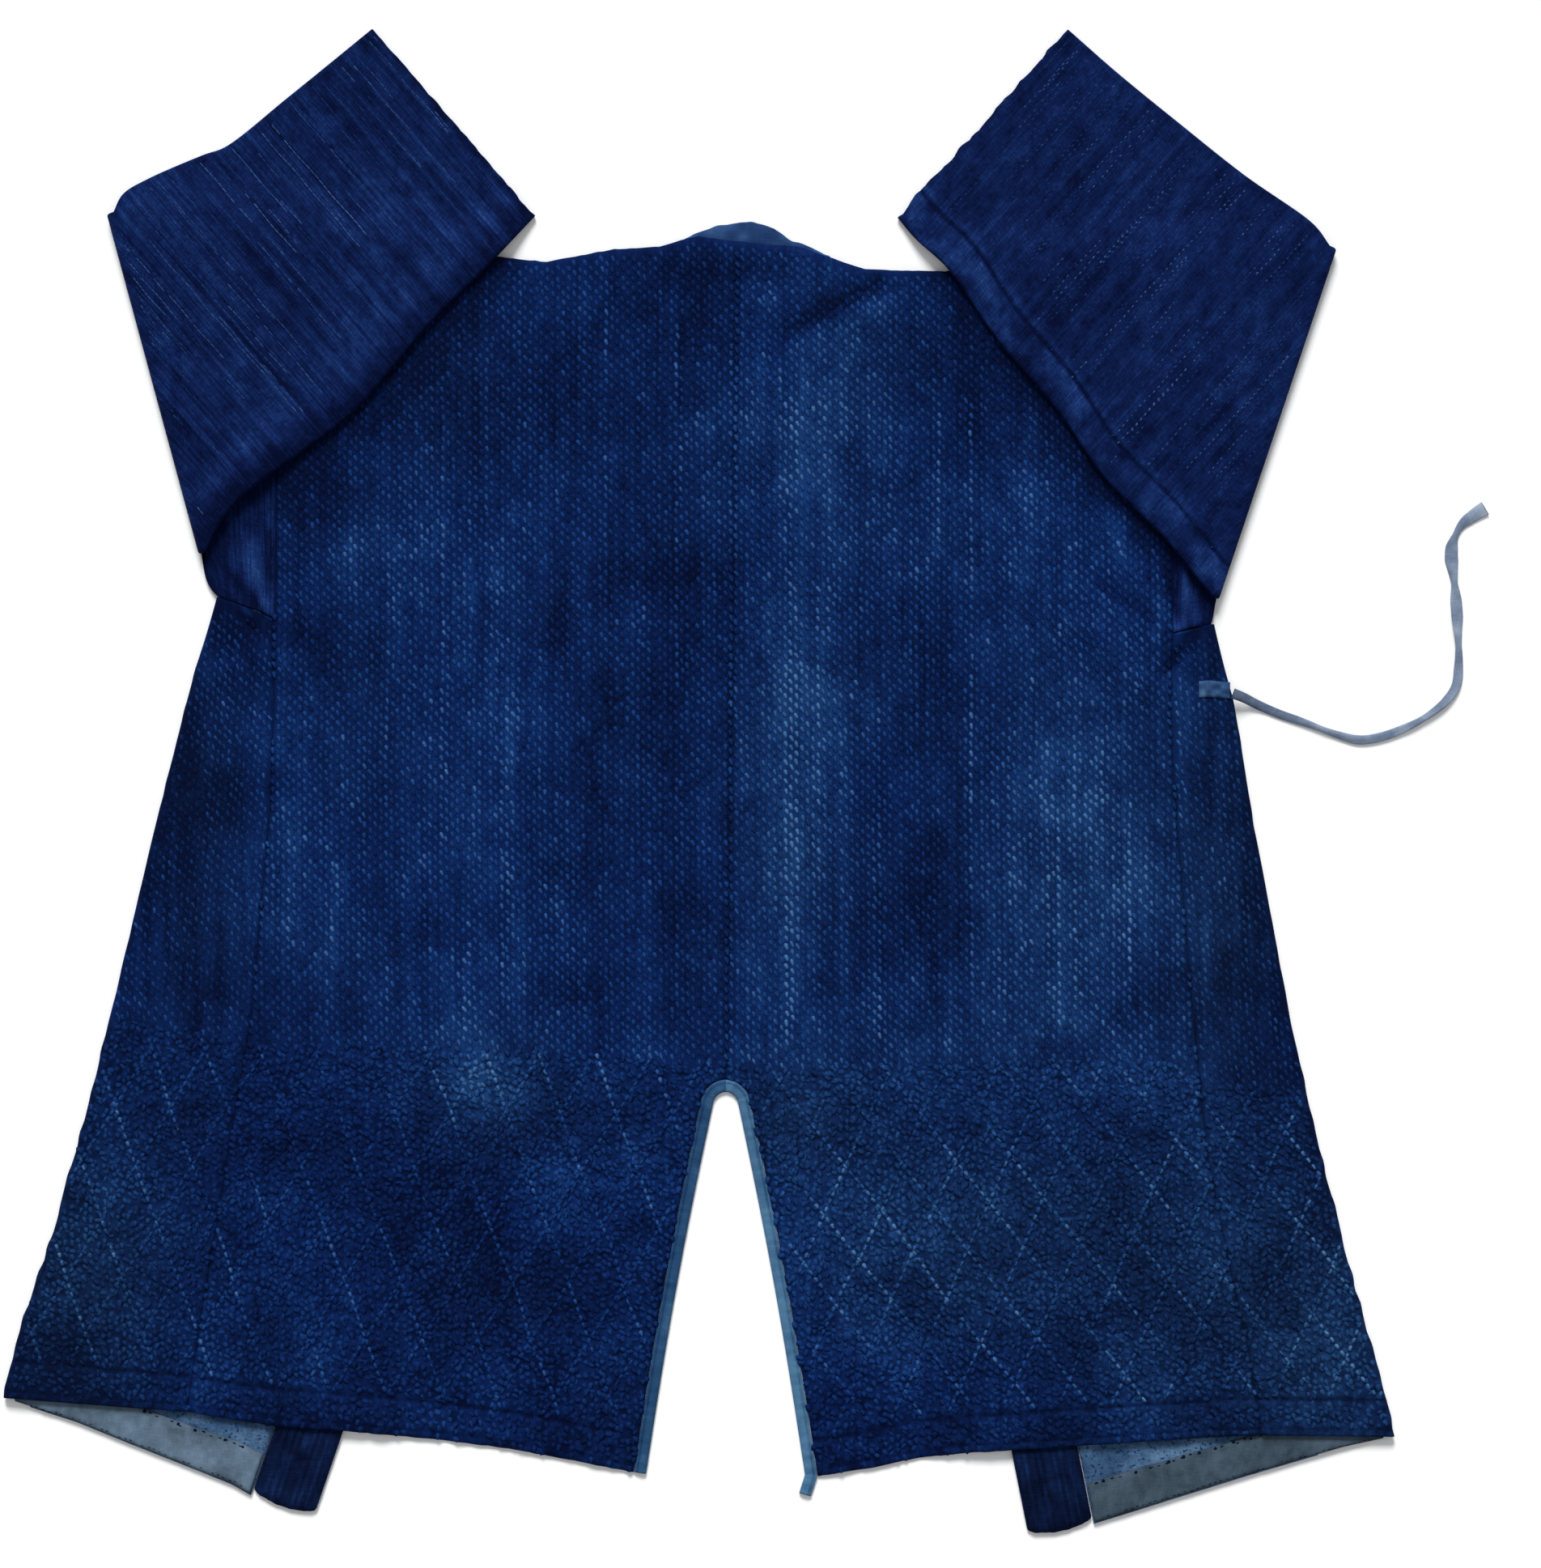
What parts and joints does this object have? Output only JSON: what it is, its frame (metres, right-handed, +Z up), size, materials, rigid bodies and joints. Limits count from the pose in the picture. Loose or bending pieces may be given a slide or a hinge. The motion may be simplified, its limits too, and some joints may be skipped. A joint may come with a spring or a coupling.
{
  "type": "sashiko noragi",
  "caption": "Indigo sashiko noragi work jacket laid flat with its back up, sleeves folded over the back, a bound centre vent in the hem and a free waist tie.",
  "frame": {"origin": "on the surface that the jacket lies on, under the middle of the laid jacket without its tie", "axes": "+Y from the hem toward the collar along the centre back, +X to the jacket's side with the tie, +Z up, out of the jacket's back"},
  "size_m": [0.9535, 0.9669, 0.0108],
  "materials": {
    "indigo_sashiko": "heavy rice-grain and lozenge sashiko weave, indigo, streaked and faded",
    "indigo_sleeve": "plainer slubbed indigo cloth with light streaks",
    "indigo_band": "dark indigo collar cloth, folded double",
    "inside_cloth": "pale blue inner face of the fronts",
    "nape_cloth": "blue-grey collar cloth at the nape",
    "hem_facing": "grey-blue plain tape",
    "vent_tape": "teal-blue twill tape, worn along its fold",
    "tie_cloth": "faded blue-grey cotton tape"
  },
  "bodies": {
    "root": {"back": "indigo_sashiko", "gore_left": "indigo_sashiko", "gore_right": "indigo_sashiko", "front_left": "inside_cloth", "front_right": "inside_cloth", "hem_facing_left": "hem_facing", "hem_facing_right": "hem_facing", "collar_band_left": "indigo_band", "collar_band_right": "indigo_band", "collar_nape": "nape_cloth", "sleeve_left": "indigo_sleeve", "sleeve_right": "indigo_sleeve", "vent_binding": "vent_tape", "tie_tab": "tie_cloth", "tie": "tie_cloth"}
  },
  "joints": []
}
